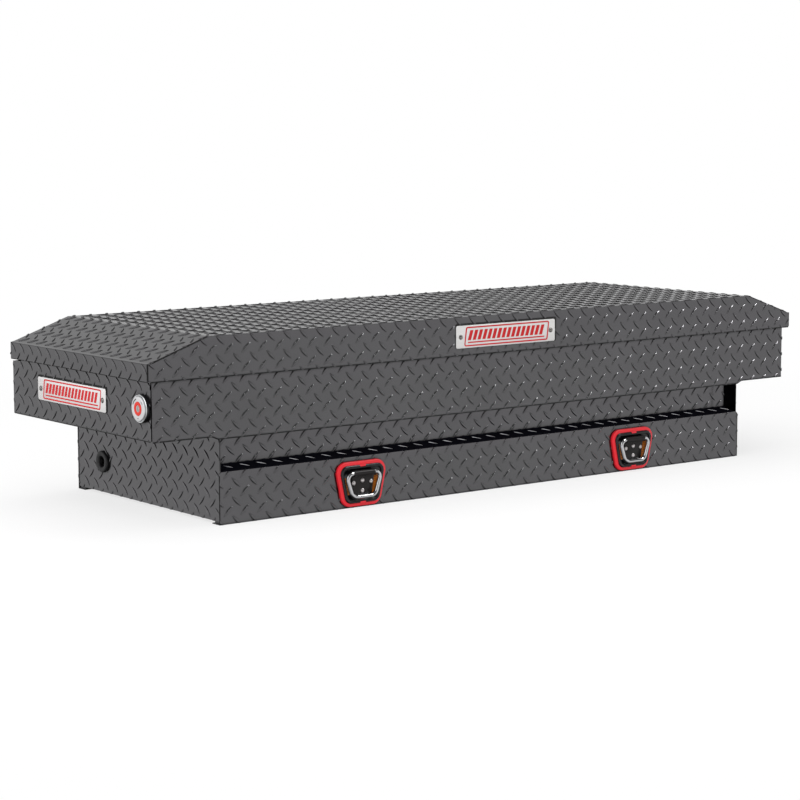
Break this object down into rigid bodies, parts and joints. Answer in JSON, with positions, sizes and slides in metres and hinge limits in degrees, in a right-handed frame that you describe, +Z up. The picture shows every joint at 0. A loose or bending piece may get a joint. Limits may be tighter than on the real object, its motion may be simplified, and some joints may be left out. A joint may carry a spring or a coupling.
{
  "type": "crossover truck tool box",
  "caption": "Tread-plate crossover tool box for a pickup bed, with a hinged lid, push-button locks, gas springs, front tie-down rings and a cable grommet.",
  "frame": {"origin": "centre of the bounding box in X and Y, at the height of the lowest edge (the bottom flanges)", "axes": "+X along the box towards its right end, -Y the front face with the tie-downs, +Z up"},
  "size_m": [1.816, 0.5968, 0.386],
  "materials": {
    "painted_tread_plate": "charcoal textured powder coat on tread plate",
    "painted_inner_sheet": "dark powder coat",
    "black_rubber": "matt rubber",
    "red_rubber": "red moulded gasket",
    "red_plastic": "gloss red",
    "black_plastic": "gloss black",
    "amber_plastic": "dark amber reflector",
    "black_steel": "black enamel",
    "zinc_plated_steel": "zinc plated",
    "polished_steel": "polished",
    "chrome_trim": "satin chrome",
    "plate_aluminium": "satin anodised"
  },
  "bodies": {
    "body": {"front_upper_panel": "painted_tread_plate", "front_recess_channel": "painted_tread_plate", "front_lower_panel": "painted_tread_plate", "rear_panel": "painted_tread_plate", "floor_panel": "painted_tread_plate", "left_lower_end": "painted_tread_plate", "right_lower_end": "painted_tread_plate", "left_upper_end": "painted_tread_plate", "right_upper_end": "painted_tread_plate", "left_wing_floor": "painted_tread_plate", "right_wing_floor": "painted_tread_plate", "rim_seal": "black_rubber", "body_hinge_leaf": "zinc_plated_steel", "body_hinge_rivets": "polished_steel", "hinge_pin": "polished_steel", "cable_grommet": "black_rubber", "end_nameplate": "plate_aluminium", "end_nameplate_rivets": "polished_steel", "tiedown_gaskets": "red_rubber", "tiedown_pans": "black_plastic", "tiedown_straps": "black_steel", "tiedown_rivets": "polished_steel", "tiedown_backing_plates": "zinc_plated_steel", "tiedown_reflectors": "amber_plastic", "lock_bezels": "chrome_trim", "lock_nuts": "zinc_plated_steel", "latch_brackets": "zinc_plated_steel", "latch_pivot_pins": "polished_steel", "spring_body_brackets": "zinc_plated_steel"},
    "lid": {"lid_skin": "painted_tread_plate", "lid_front_sheet": "painted_tread_plate", "lid_rear_flange": "painted_tread_plate", "lid_inner_frame": "painted_inner_sheet", "lid_stiffeners": "painted_inner_sheet", "lid_hinge_leaf": "zinc_plated_steel", "lid_hinge_rivets": "polished_steel", "lid_nameplate": "plate_aluminium", "lid_nameplate_rivets": "polished_steel", "latch_strikers": "polished_steel", "spring_lid_brackets": "zinc_plated_steel"},
    "left_button": {"left_push_button": "chrome_trim", "left_button_ring": "red_plastic"},
    "left_key": {"left_key_plug": "zinc_plated_steel"},
    "left_hook": {"left_latch_hook": "zinc_plated_steel"},
    "right_button": {"right_push_button": "chrome_trim", "right_button_ring": "red_plastic"},
    "right_key": {"right_key_plug": "zinc_plated_steel"},
    "right_hook": {"right_latch_hook": "zinc_plated_steel"},
    "left_spring_tube": {"left_spring_cylinder": "black_steel"},
    "left_spring_piston": {"left_spring_rod": "polished_steel"},
    "right_spring_tube": {"right_spring_cylinder": "black_steel"},
    "right_spring_piston": {"right_spring_rod": "polished_steel"},
    "left_ring": {"left_tiedown_ring": "polished_steel"},
    "right_ring": {"right_tiedown_ring": "polished_steel"}
  },
  "joints": [
    {"name": "lid_hinge", "type": "hinge", "parent": "body", "child": "lid", "pos_m": [0, 0.28625, 0.323], "axis": [-1, 0, 0], "range_deg": [0, 75]},
    {"name": "left_button_press", "type": "slide", "parent": "body", "child": "left_button", "axis": [1, 0, 0], "range_m": [0, 0.006]},
    {"name": "left_key_turn", "type": "hinge", "parent": "left_button", "child": "left_key", "pos_m": [-0.9, -0.23855, 0.247], "axis": [1, 0, 0], "range_deg": [0, 90]},
    {"name": "left_hook_release", "type": "hinge", "parent": "body", "child": "left_hook", "pos_m": [-0.838, -0.23455, 0.266], "axis": [0, -1, 0], "range_deg": [0, 22.2]},
    {"name": "left_spring_swing", "type": "hinge", "parent": "body", "child": "left_spring_tube", "pos_m": [-0.852, -0.03555, 0.206], "axis": [1, 0, 0], "range_deg": [0, 7.19]},
    {"name": "left_spring_extend", "type": "slide", "parent": "left_spring_tube", "child": "left_spring_piston", "axis": [0, 0.9285, 0.3714], "range_m": [0, 0.0517]},
    {"name": "left_ring_swing", "type": "hinge", "parent": "body", "child": "left_ring", "pos_m": [-0.39, -0.29205, 0.0748], "axis": [-1, 0, 0], "range_deg": [0, 110]},
    {"name": "right_button_press", "type": "slide", "parent": "body", "child": "right_button", "axis": [-1, 0, 0], "range_m": [0, 0.006]},
    {"name": "right_key_turn", "type": "hinge", "parent": "right_button", "child": "right_key", "pos_m": [0.9, -0.23855, 0.247], "axis": [-1, 0, 0], "range_deg": [0, 90]},
    {"name": "right_hook_release", "type": "hinge", "parent": "body", "child": "right_hook", "pos_m": [0.838, -0.23455, 0.266], "axis": [0, 1, 0], "range_deg": [0, 22.2]},
    {"name": "right_spring_swing", "type": "hinge", "parent": "body", "child": "right_spring_tube", "pos_m": [0.852, -0.03555, 0.206], "axis": [1, 0, 0], "range_deg": [0, 7.19]},
    {"name": "right_spring_extend", "type": "slide", "parent": "right_spring_tube", "child": "right_spring_piston", "axis": [0, 0.9285, 0.3714], "range_m": [0, 0.0517]},
    {"name": "right_ring_swing", "type": "hinge", "parent": "body", "child": "right_ring", "pos_m": [0.39, -0.29205, 0.0748], "axis": [-1, 0, 0], "range_deg": [0, 110]}
  ],
  "couplings": [
    {"joint": "left_hook_release", "follows": "left_button_press", "rad_per_m": 63.995},
    {"joint": "left_spring_swing", "follows": "lid_hinge", "ratio": 0.093205},
    {"joint": "left_spring_extend", "follows": "lid_hinge", "m_per_rad": 0.039097},
    {"joint": "right_hook_release", "follows": "right_button_press", "rad_per_m": 63.995},
    {"joint": "right_spring_swing", "follows": "lid_hinge", "ratio": 0.093205},
    {"joint": "right_spring_extend", "follows": "lid_hinge", "m_per_rad": 0.039097}
  ]
}
